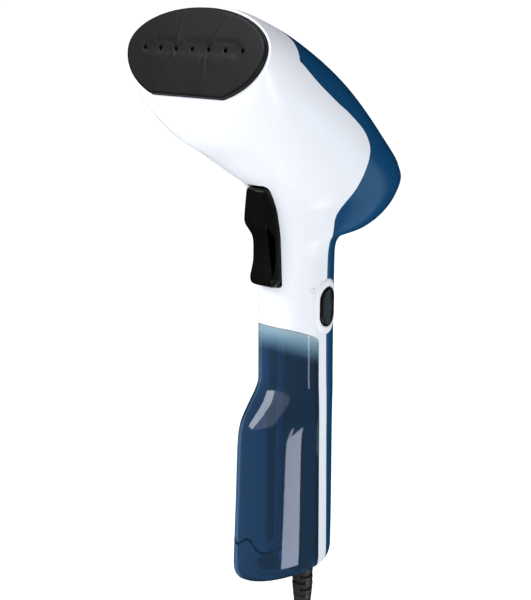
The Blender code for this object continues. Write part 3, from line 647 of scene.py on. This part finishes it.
def cord_run(points, side, radii, depths, downwards):
    """A straight run on one side, from its first radius and depth to its last."""
    steps = 12
    for i in range(1, steps + 1):
        share = i / steps
        sway = half_cosine(share)
        height = HANK_TOP - HANK_STRAIGHT * share if downwards else HANK_LOW + HANK_STRAIGHT * share
        points.append((side * (radii[0] + (radii[1] - radii[0]) * sway),
                       depths[0] + (depths[1] - depths[0]) * sway, height))


def cord_turn(points, radius, depths, at_top):
    """A half turn round one end of the hank."""
    steps = 20
    for i in range(1, steps + 1):
        angle = math.pi * i / steps
        depth = depths[0] + (depths[1] - depths[0]) * half_cosine(i / steps)
        if at_top:
            points.append((-radius * math.cos(angle), depth, HANK_TOP + radius * math.sin(angle)))
        else:
            points.append((radius * math.cos(angle), depth, HANK_LOW - radius * math.sin(angle)))


def cord_route():
    """The lead from the strain relief, through five turns of a tied hank, to the plug."""
    low = 2 * HANK_CENTRE - (LEAD_TOP - LEAD_DROP)
    points = [(0.0, CORD_Y, LEAD_TOP - LEAD_DROP * i / 2) for i in range(2)]
    for sideways, inwards, down in cord_crossing(1.0):
        points.append((OUTER * sideways, CORD_Y + (FRONT - CORD_Y) * inwards,
                       LEAD_TOP - LEAD_DROP + (HANK_TOP - LEAD_TOP + LEAD_DROP) * down))
    # each turn: radii on the way down and its depth there, depths round the bottom,
    # radii on the way up, depths round the top
    turns = [
        ((OUTER, OUTER), FRONT, (FRONT, FRONT), (OUTER, MIDDLE), (FRONT, FRONT)),
        ((MIDDLE, MIDDLE), FRONT, (FRONT, FRONT), (MIDDLE, INNER), (FRONT, FRONT)),
        ((INNER, INNER), FRONT, (FRONT, CENTRE), (INNER, INNER), (CENTRE, CENTRE)),
        ((INNER, MIDDLE), CENTRE, (CENTRE, CENTRE), (MIDDLE, MIDDLE), (CENTRE, CENTRE)),
        ((MIDDLE, OUTER), CENTRE, (CENTRE, CENTRE), (OUTER, OUTER), (CENTRE, REAR)),
    ]
    for down_radii, depth, low_depths, up_radii, top_depths in turns:
        cord_run(points, 1, down_radii, (depth, depth), True)
        cord_turn(points, down_radii[1], low_depths, False)
        cord_run(points, -1, up_radii, (low_depths[1], low_depths[1]), False)
        cord_turn(points, up_radii[1], top_depths, True)
    cord_run(points, 1, (OUTER, OUTER), (REAR, REAR), True)
    for sideways, inwards, down in reversed(cord_crossing(TAIL_SETTLED)[:-1]):
        points.append((OUTER * sideways, CORD_Y + (REAR - CORD_Y) * inwards,
                       low + (HANK_LOW - low) * down))
    points.append((0.0, CORD_Y, low - LEAD_DROP))
    return points


def mains_lead():
    """One curve for the whole lead, its strap, and the plug on its end."""
    route = cord_route()
    curve = bpy.data.curves.new("mains_lead", "CURVE")
    curve.dimensions = "3D"
    curve.bevel_depth = CORD_THICKNESS / 2 * MM
    curve.bevel_resolution = 6
    curve.use_fill_caps = True
    spline = curve.splines.new("POLY")
    spline.points.add(len(route) - 1)
    for point, place in zip(spline.points, route):
        point.co = (*world(*place), 1.0)
    spline.use_smooth = True
    lead = bpy.data.objects.new("mains_lead", curve)
    bpy.context.scene.collection.objects.link(lead)
    dress(lead, "black_rubber", "body", "cord_lead", "cord_hank", "cord_tail")
    strap = lead_strap()
    parts = [strap] + mains_plug(route[-1][2] - GAP)


def lead_strap():
    """Hook-and-loop strap round the hank, with its end lapped over on the front."""
    outline = [(-35.5, -3.7), (0.0, -3.2), (35.5, -3.7), (39.2, -0.5), (39.2, 15.2), (35.5, 18.5),
               (0.0, 15.2), (-35.5, 11.6), (-39.2, 9.0), (-39.2, -0.5)]
    loop = rounded(outline, 4.5)
    half_width = 8.0
    outside = grown(loop, 1.5)
    edges = [(loop, -half_width), (outside, -half_width + 0.3), (outside, half_width - 0.3),
             (loop, half_width)]
    loops = [[(x, y, HANK_CENTRE + height) for x, y in ring] for ring, height in edges]
    strap = rings("lead_strap", loops, closed=True, sharp=50)
    lap = [(-24.0, -4.9), (-6.0, -4.75), (12.0, -4.9)]
    thickness = 1.3
    bm = bmesh.new()
    rows = []
    for x, y in smooth_curve(lap, 12):
        taper = 1.0 - 0.25 * smoothstep(x, 4.0, 12.0)
        height = (half_width - 0.4) * taper
        corners = [(x, y - 0.1, HANK_CENTRE - height), (x, y - thickness, HANK_CENTRE - height + 0.3),
                   (x, y - thickness, HANK_CENTRE + height - 0.3), (x, y - 0.1, HANK_CENTRE + height)]
        rows.append([bm.verts.new(c) for c in corners])
    for first, second in zip(rows, rows[1:]):
        for i in range(4):
            j = (i + 1) % 4
            bm.faces.new((first[i], first[j], second[j], second[i]))
    bm.faces.new(rows[0])
    bm.faces.new(rows[-1])
    tab = finish_mesh("strap_tab", bm, 50)
    dress(tab, "strap_fabric", "body")
    dress(strap, "strap_fabric", "body", "cord_strap")
    tab.parent = strap
    return strap


PIN_RADIUS = 2.4
PIN_LENGTH = 19.0
PIN_SPACING = 19.0
PIN_TIP = 1.6                 # length of the rounded tip


def mains_plug(top):
    """Round two-pin plug with grip rings round its neck, and its two pins."""
    neck = [(0, 4.5), (8, 5.1), (11, 6.2)]
    for ring in range(5):
        start = 11.0 + ring * 2.6
        radius = 8.0 + ring * 2.1
        neck += [(start, radius), (start + 1.5, radius + 0.7), (start + 1.5, radius - 0.5),
                 (start + 2.4, radius + 0.3)]
    body = fillet(neck + [(26.0, 17.4), (29.0, 18.7), (43.2, 18.7), (44.0, 18.1)], 0.5, 4)
    face = [(44.0, 14.6), (42.6, 14.2), (42.6, 0.6)]
    moulding = turned("plug_moulding", (0, CORD_Y, top), (0, 0, -1), body + face, 96, 40)
    made = [dress(moulding, "black_rubber", "body", "plug_body")]
    for number, side in enumerate((-1, 1), 1):
        place = (side * PIN_SPACING / 2, CORD_Y, top - PLUG_LENGTH - GAP + 1.7)
        profile = [(0.0, PIN_RADIUS), (PIN_LENGTH, PIN_RADIUS)]
        for angle in np.linspace(0.2, math.pi / 2, 6):
            profile.append((PIN_LENGTH + PIN_TIP * math.sin(angle),
                            PIN_RADIUS - (PIN_RADIUS - 1.0) * (1 - math.cos(angle))))
        pin = turned(f"plug_contact_{number}", place, (0, 0, -1), profile, 40)
        made.append(dress(pin, "steel", "body", f"plug_pin_{number}"))
    return made


RELIEF_BORE = 3.9
RING_START = 1.8
RING_PITCH = 4.3
RING_HEIGHT = 2.5
RING_COUNT = 8
BRIDGE_HALF_ANGLE = 0.66
BRIDGE_DIRECTIONS = (math.radians(82.0), math.radians(8.0))


def relief_bridge(level, side, radius):
    """Solid stretch between two rings; the slots are what two opposite bridges leave open."""
    middle = BRIDGE_DIRECTIONS[level % 2] + math.pi * side
    angles = np.linspace(middle - BRIDGE_HALF_ANGLE, middle + BRIDGE_HALF_ANGLE, 16)
    outline = [(RELIEF_BORE * math.cos(a), CORD_Y + RELIEF_BORE * math.sin(a)) for a in angles[::-1]]
    outline += [(radius * math.cos(a), CORD_Y + radius * math.sin(a)) for a in angles]
    ring_end = -(RING_START + level * RING_PITCH) - RING_HEIGHT
    overlap = 0.3
    next_ring = ring_end + RING_HEIGHT - RING_PITCH
    heights = (ring_end + overlap, next_ring - overlap)
    return rings(f"bridge_{level}_{side}", [[(x, y, z) for x, y in outline] for z in heights])


def strain_relief():
    """Flexible sleeve: rings round a thin core, joined by bridges in two directions in turn."""
    core = [(0.0, 4.2), (0.0, 5.2), (38.0, 4.1), (RELIEF_LENGTH, 4.0),
            (RELIEF_LENGTH, CORD_THICKNESS / 2 + 0.05)]
    solids = [turned("core", (0, CORD_Y, 0.2), (0, 0, -1), core, 64)]
    for level in range(RING_COUNT):
        start = RING_START + level * RING_PITCH
        radius = RELIEF_RADIUS - max(0, level - 4) * 0.4
        profile = [(0.0, RELIEF_BORE), (0.0, radius), (RING_HEIGHT, radius - 0.1),
                   (RING_HEIGHT, RELIEF_BORE)]
        solids.append(turned(f"ring_{level}", (0, CORD_Y, -start), (0, 0, -1),
                             fillet(profile, 0.5, 4), 72))
        if level < RING_COUNT - 1:
            solids += [relief_bridge(level, side, radius - 0.25) for side in (0, 1)]
    sleeve = join("relief_sleeve", solids)
    dress(sleeve, "black_rubber", "body", "strain_relief")


def join(name, parts):
    """Puts several closed solids into one mesh."""
    bm = bmesh.new()
    for part in parts:
        bm.from_mesh(part.data)
        bpy.data.objects.remove(part)
    mesh = bpy.data.meshes.new(name)
    bm.to_mesh(mesh)
    bm.free()
    mesh.shade_smooth()
    mesh.set_sharp_from_angle(angle=math.radians(40))
    obj = bpy.data.objects.new(name, mesh)
    bpy.context.scene.collection.objects.link(obj)
    return obj


# ---------------------------------------------------------------- housing
TRIGGER_SLOT_HALF = 8.9
SLOT_LOW, SLOT_HIGH = 171.4, 229.2
SLOT_BACK = -17.5
BEZEL_SIZE = (19.6, 32.0)
LENS_CENTRE = (19.1, -7.0, 169.8)
LENS_NORMAL = (0.96, -0.28, 0.0)
LENS_RADIUS = 1.3
LENS_DEPTH = 4.0
LENS_CLEARANCE = 0.15
LENS_RISE = 0.35
SPIGOT_Y = -12.0
SPIGOT_HOLE = 4.6
RELIEF_HOLE = 4.3


def pill(centre, size, corner_points=24):
    """Outline (y, z) of an upright pill."""
    radius = size[0] / 2
    straight = size[1] / 2 - radius
    outline = []
    for end, shift in ((0, straight), (1, -straight)):
        for i in range(corner_points + 1):
            angle = math.pi * (end + i / corner_points)
            outline.append((centre[0] + radius * math.cos(angle),
                            centre[1] + radius * math.sin(angle) + shift))
    return outline


def rounded_box(half_width, low, high, radius):
    """Outline (x, z) of an upright rounded rectangle."""
    outline = []
    corners = ((1, high, 0), (-1, high, 1), (-1, low, 2), (1, low, 3))
    for side, level, quarter in corners:
        x = side * (half_width - radius)
        z = level - radius if quarter < 2 else level + radius
        for i in range(9):
            angle = math.pi / 2 * (quarter + i / 8)
            outline.append((x + radius * math.cos(angle), z + radius * math.sin(angle)))
    return outline


def trigger_width(z):
    """Share of its full width that the trigger has at a height: it narrows towards its top."""
    return 1.0 - 0.15 * smoothstep(z, 197.0, 232.0)


def on_grip(y, z, outwards):
    """Place on the grip's +X side above (y, z), moved outwards."""
    half_width = station_row(station_at(z))[4] + outwards
    share = min(abs(y) / (GRIP_HALF_DEPTH + outwards), 0.9999)
    return (half_width * math.sqrt(1 - share * share), y, z)


def housing():
    """White front shell and blue rear shell."""
    tank_line = part_smooth(TANK_SPACE, TANK_SMOOTH)
    seam = part_smooth(SEAM, SEAM_SMOOTH)
    tank_space = side_prism("tank_space", tank_line, -60, 60)
    kept_clear = side_prism("kept_clear", grown(tank_line, SPINE_WALL), -60, 60)
    front_space = side_prism("front_space", seam, -90, 90)
    seam_space = side_prism("seam_space", grown(seam, GAP), -90, 90)
    cavity = skin("cavity", WALL, 0.7, LAST_STATION - 1.0, 96)
    carve(cavity, "DIFFERENCE", kept_clear)
    opening = head_prism("plate_opening", plate_outline(GAP + 0.1), -8.0, PLATE_BACK + 1.0)
    relief_hole = rod("relief_hole", (0, CORD_Y, -6), (0, CORD_Y, 9), RELIEF_HOLE)
    bezel_hole = side_prism("bezel_hole", grown(pill(BUTTON_CENTRE, BEZEL_SIZE), 0.05), 8, 40)
    slot_outline = [(trigger_width(z) * x, z)
                    for x, z in rounded_box(TRIGGER_SLOT_HALF, SLOT_LOW, SLOT_HIGH, 2.0)]
    slot = rings("slot", [[(x, y, z) for x, z in slot_outline] for y in (-60, SLOT_BACK)])
    spigot_hole = rod("spigot_hole", (0, SPIGOT_Y, 140), (0, SPIGOT_Y, 162), SPIGOT_HOLE)
    centre, normal = Vector(LENS_CENTRE), Vector(LENS_NORMAL).normalized()
    lens_hole = rod("lens_hole", centre - normal * 8, centre + normal * 3, LENS_RADIUS + LENS_CLEARANCE)

    rear = skin("shell_rear")
    rear_tools = [copy_of(tool) for tool in (cavity, bezel_hole, relief_hole)]
    carve(rear, "DIFFERENCE", seam_space, *rear_tools)
    front = skin("shell_front")
    carve(front, "INTERSECT", front_space)
    carve(front, "DIFFERENCE", cavity, tank_space, opening, slot, bezel_hole, relief_hole,
          spigot_hole, lens_hole)
    dress(front, "white_plastic", "body", "front_shell")
    dress(rear, "blue_plastic", "body", "rear_shell")


def copy_of(obj):
    twin = obj.copy()
    twin.data = obj.data.copy()
    bpy.context.scene.collection.objects.link(twin)
    return twin


# ---------------------------------------------------------------- steam plate
def soft_mask(x, h, centre, half, radius):
    """1 inside a rounded box, 0 outside, with a soft edge."""
    dx = np.abs(x - centre[0]) - half[0] + radius
    dh = np.abs(h - centre[1]) - half[1] + radius
    outside = np.hypot(np.maximum(dx, 0), np.maximum(dh, 0)) + np.minimum(np.maximum(dx, dh), 0) - radius
    return 1 - smoothstep(outside, -1.9, 1.7)


def ridge(x, h, start, end, width):
    """1 on a line from start to end, fading to nothing at its sides and to half at its far end."""
    start, end = np.array(start), np.array(end)
    line = end - start
    share = ((x - start[0]) * line[0] + (h - start[1]) * line[1]) / np.dot(line, line)
    share = np.clip(share, 0, 1)
    away = np.hypot(x - start[0] - share * line[0], h - start[1] - share * line[1])
    return (1 - smoothstep(away, 0.2 * width, width)) * (1 - 0.5 * share)


def plate_relief(x, h):
    """Height of the plate's face above its plane, in mm."""
    recess = np.zeros_like(x)
    pockets = [
        ((-21.0, 3.2), (8.2, 2.0), 1.6), ((1.8, 2.6), (8.6, 2.2), 1.6), ((24.0, 3.2), (8.0, 2.0), 1.6),
        ((0.0, 0.0), (36.0, 3.0), 3.0),
    ]
    for centre, half, radius in pockets:
        recess = np.maximum(recess, soft_mask(x, h, centre, half, radius))
    lobes = [
        ((-24.5, -5.6), (8.6, 3.4), 3.0), ((-2.0, -5.9), (9.6, 4.0), 3.4),
        ((22.5, -5.6), (8.6, 3.4), 3.0),
    ]
    raised = np.zeros_like(x)
    for centre, half, radius in lobes:
        raised = np.maximum(raised, soft_mask(x, h, centre, half, radius))
    height = -0.14 * recess * (1 - 0.5 * raised) + 0.05 * raised
    ridges = [
        ((-12.6, 3.0), (-10.2, 18.5), 0.07), ((12.8, 3.0), (22.5, 16.0), 0.18),
        ((-13.4, -3.0), (-22.5, -18.0), 0.15), ((10.2, -4.0), (12.6, -21.5), 0.08),
    ]
    for start, end, proud in ridges:
        height = height + proud * ridge(x, h, start, end, 1.9)
    for i in range(HOLE_COUNT):
        away = np.hypot(x - HOLE_PITCH * (i - (HOLE_COUNT - 1) / 2), h)
        height = height - 0.10 * (1 - smoothstep(away, HOLE_RADIUS, HOLE_RADIUS + 0.6))
    return height


def steam_plate():
    """Sole with a rounded rim, a pressed relief round its holes, and a turned-back edge."""
    rim = [(0.0, PLATE_BACK), (0.0, -PLATE_PROUD + 1.3)]
    for i in range(1, 7):
        angle = math.pi / 2 * i / 6
        rim.append((1.2 * (1 - math.cos(angle)), -PLATE_PROUD + 0.9 * (1 - math.sin(angle))))
    outlines = [(plate_outline(-inset, 60), depth) for inset, depth in rim]
    loops = [[in_head(x, depth, h) for x, h in outline] for outline, depth in outlines]
    last = np.array(outlines[-1][0])
    middle = np.array((0.0, -1.2))
    scales = 1 - np.linspace(0, 1, 86)[1:-1]
    for scale in scales:
        places = middle + (last - middle) * scale
        fade = smoothstep(1 - scale, 0.0, 0.05)
        height = plate_relief(places[:, 0], places[:, 1]) * fade
        loops.append([in_head(x, -PLATE_PROUD - lift, h) for (x, h), lift in zip(places, height)])
    plate = rings("plate_sole", loops, sharp=50)
    holes = []
    for i in range(HOLE_COUNT):
        x = HOLE_PITCH * (i - (HOLE_COUNT - 1) / 2)
        holes.append(rod(f"hole_{i}", in_head(x, -8, 0), in_head(x, 3.4, 0), HOLE_RADIUS + 0.1, 24))
    carve(plate, "DIFFERENCE", *holes)
    dress(plate, "plate_coating", "body", "steam_plate")


# ---------------------------------------------------------------- trigger, button and lens
TRIGGER_HALF_WIDTH = 8.5
TRIGGER = [
    (-33.6, 227.4), (-34.4, 219.0), (-34.9, 209.5), (-34.0, 207.0), (-27.9, 199.5), (-27.0, 195.0),
    (-27.2, 186.0), (-30.2, 176.5), (-29.9, 173.6), (-26.5, 172.0), (-19.4, 172.0), (-18.6, 190.0),
    (-17.6, 205.0), (-15.8, 216.0), (-15.8, 224.0), (-18.0, 227.0), (-25.0, 228.4),
]


def trigger():
    """Lever with a convex face, rounded edges and rounded corners."""
    closed = rounded(TRIGGER, 2.2)
    edge, corner = 1.8, 2.6
    half = TRIGGER_HALF_WIDTH
    loops = []
    for across in np.sin(np.linspace(-math.pi / 2, math.pi / 2, 41)):
        x = across * half
        into_edge = max(abs(x) - (half - edge), 0.0)
        inset = edge - math.sqrt(max(edge * edge - into_edge * into_edge, 0.0))
        into_corner = max(abs(x) - (half - corner), 0.0)
        drop = corner - math.sqrt(max(corner * corner - into_corner * into_corner, 0.0))
        crown = 0.9 * (x / half) ** 2
        loop = []
        for y, z in grown(closed, -inset * 0.85):
            lowered = 0.35 * smoothstep(z, 214.0, 228.0)
            lifted = 1.2 * smoothstep(-z, -184.0, -172.0)
            z = z - drop * lowered + drop * lifted
            y = y + crown * smoothstep(-y, 24.0, 30.0)
            loop.append((x * trigger_width(z), y, z))
        loops.append(loop)
    lever = rings("trigger_lever", loops, sharp=60)
    dress(lever, "black_plastic", "trigger", "trigger")


def grip_rings(name, outlines, closed=False):
    """Loops on the grip's side: outlines are (outline, outwards)."""
    loops = [[on_grip(y, z, out) for y, z in outline] for outline, out in outlines]
    return rings(name, loops, closed, sharp=55)


def blended(outer, inner, share):
    return [(a[0] + (b[0] - a[0]) * share, a[1] + (b[1] - a[1]) * share) for a, b in zip(outer, inner)]


def power_button():
    """Raised rim on the grip, with the button's cap inside it; profiles are (share inwards, proud)."""
    outer = pill(BUTTON_CENTRE, BEZEL_SIZE)
    inner = pill(BUTTON_CENTRE, (BUTTON_SIZE[0] + 0.5, BUTTON_SIZE[1] + 0.5))
    rim = [(0.0, -2.0), (0.0, -0.05), (0.06, 0.25), (0.2, 0.55), (0.45, 0.82), (0.7, 0.9),
           (0.88, 0.86), (0.96, 0.72), (1.0, 0.45), (1.0, -2.0)]
    outlines = [(blended(outer, inner, share), out) for share, out in rim]
    ring = grip_rings("button_rim", outlines, closed=True)
    dress(ring, "white_plastic", "body", "button_bezel")
    cap = pill(BUTTON_CENTRE, BUTTON_SIZE)
    centre = [BUTTON_CENTRE] * len(cap)
    profile = [(0.0, -3.2), (0.0, 0.8), (0.02, 1.12), (0.06, 1.36), (0.12, 1.47), (0.2, 1.5),
               (0.35, 1.44), (0.55, 1.33), (0.75, 1.24), (0.93, 1.2)]
    outlines = [(blended(cap, centre, share), out) for share, out in profile]
    button = grip_rings("button_cap", outlines)
    dress(button, "black_plastic", "power_button", "power_button")


def indicator():
    """Small domed lens let into the grip."""
    centre, normal = Vector(LENS_CENTRE), Vector(LENS_NORMAL).normalized()
    profile = [(0.0, LENS_RADIUS)]
    for angle in np.linspace(0.1, 1.45, 8):
        profile.append((LENS_DEPTH + LENS_RISE * math.sin(angle),
                        LENS_RADIUS * math.cos(angle) ** 0.6 + 0.02))
    lens = turned("indicator_dome", centre - normal * LENS_DEPTH, normal, profile, 40)
    dress(lens, "natural_plastic", "body", "indicator_lens")


# ---------------------------------------------------------------- tank
TANK_BASE = (-21.0, 15.0, 15.5)           # centre y, half width, half depth
TANK_OUTLET = 3.3
PLUG_Y = TANK_BASE[0] - 1.0


def oval(grow=0.0, points=96):
    centre, half_width, half_depth = TANK_BASE
    angles = [2 * math.pi * i / points for i in range(points)]
    return [((half_width + grow) * math.cos(a), centre + (half_depth + grow) * math.sin(a))
            for a in angles]


def upright(name, levels):
    """Stacks outlines (x, y) given with their heights."""
    return rings(name, [[(x, y, z) for x, y in outline] for outline, z in levels])


def tank():
    """Tinted tank with its floor, filler plug and pickup tube."""
    tank_line = part_smooth(TANK_SPACE, TANK_SMOOTH)
    shell = skin("tank_body", 0.0, 13.5)
    carve(shell, "INTERSECT", side_prism("room", grown(tank_line, -GAP), -60, 60))
    hollow = skin("hollow", TANK_WALL, 13.5, LAST_STATION - 1.2, 96)
    carve(hollow, "INTERSECT", side_prism("inner_room", grown(tank_line, -GAP - TANK_WALL), -60, 60))
    mouth = upright("mouth", [(oval(GAP), -5.0), (oval(GAP), 8.0)])
    spigot_hole = rod("spigot_hole", (0, SPIGOT_Y, 130), (0, SPIGOT_Y, 170), TANK_OUTLET)
    carve(shell, "DIFFERENCE", hollow, mouth, spigot_hole)
    dress(shell, "tank_plastic", "tank", "tank_shell")
    base = upright("tank_floor", [(oval(-0.3), 0.2), (oval(), 0.5), (oval(), 3.5), (oval(-0.3), 3.8)])
    carve(base, "DIFFERENCE", rod("hole", (0, PLUG_Y, -3), (0, PLUG_Y, 9), 6.0, 64),
          rod("recess", (0, PLUG_Y, -3), (0, PLUG_Y, 1.8), 8.3, 64))
    dress(base, "tank_plastic", "tank", "tank_base")
    tank_rib()
    profile = fillet([(0.0, 2.0), (0.0, 7.6), (1.25, 8.0), (1.25, 5.7), (6.2, 5.7), (7.0, 5.0)], 0.3, 3)
    stopper = turned("filler_stopper", (0, PLUG_Y, 0.25), (0, 0, 1), profile, 72)
    dress(stopper, "black_rubber", "filler_plug", "filler_plug")
    pipe = rod("pickup_pipe", (0, SPIGOT_Y, 137.7), (0, SPIGOT_Y - 3, 16), 2.0, 32)
    dress(pipe, "natural_plastic", "tank", "pickup_tube")
    screen = turned("pickup_screen", (0, SPIGOT_Y - 3, 8.2), (0, 0, 1),
                    fillet([(0, 3.6), (0.6, 4.2), (6.0, 4.2), (7.2, 2.4)], 0.5, 4), 48)
    dress(screen, "natural_plastic", "tank", "pickup_filter")


def tank_rib():
    """Moulded line that waves round the tank's front, above its floor."""
    waves = [
        (-17.0, 21.5), (-8.0, 21.8), (-2.2, 22.4), (1.0, 25.0), (3.3, 26.8), (5.3, 27.0),
        (6.9, 25.4), (8.6, 21.6), (11.2, 19.1), (14.0, 19.2), (17.0, 20.4),
    ]
    line = [tuple(p) for p in smooth_curve(waves, 6)]
    radius, embedded = 0.5, 0.4
    places = []
    for x, z in line:
        loop = section(station_at(z), embedded, 480)
        front = loop[loop[:, 1] < loop[:, 1].mean()]
        nearest = front[np.argmin(np.abs(front[:, 0] - x))]
        places.append((nearest[0], nearest[1], z))
    loops = []
    for x, y, z in places:
        angles = [2 * math.pi * i / 10 for i in range(10)]
        loops.append([(x, y + radius * math.cos(a), z + radius * math.sin(a)) for a in angles])
    dress(rings("tank_rib", loops), "black_plastic", "tank")


def finish_frame():
    """Gives every CAD node the material of its record slot, whether it still shows or not."""
    for entry in frame["record"]["subparts"]:
        obj = frame["nodes"][entry["node"]]
        obj.data.materials.clear()
        obj.data.materials.append(materials[entry["material_slot"]])


camera()
surroundings()
lights()
pale_floor()
materials = make_materials()
mains_lead()
strain_relief()
housing()
steam_plate()
trigger()
power_button()
indicator()
tank()
finish_frame()
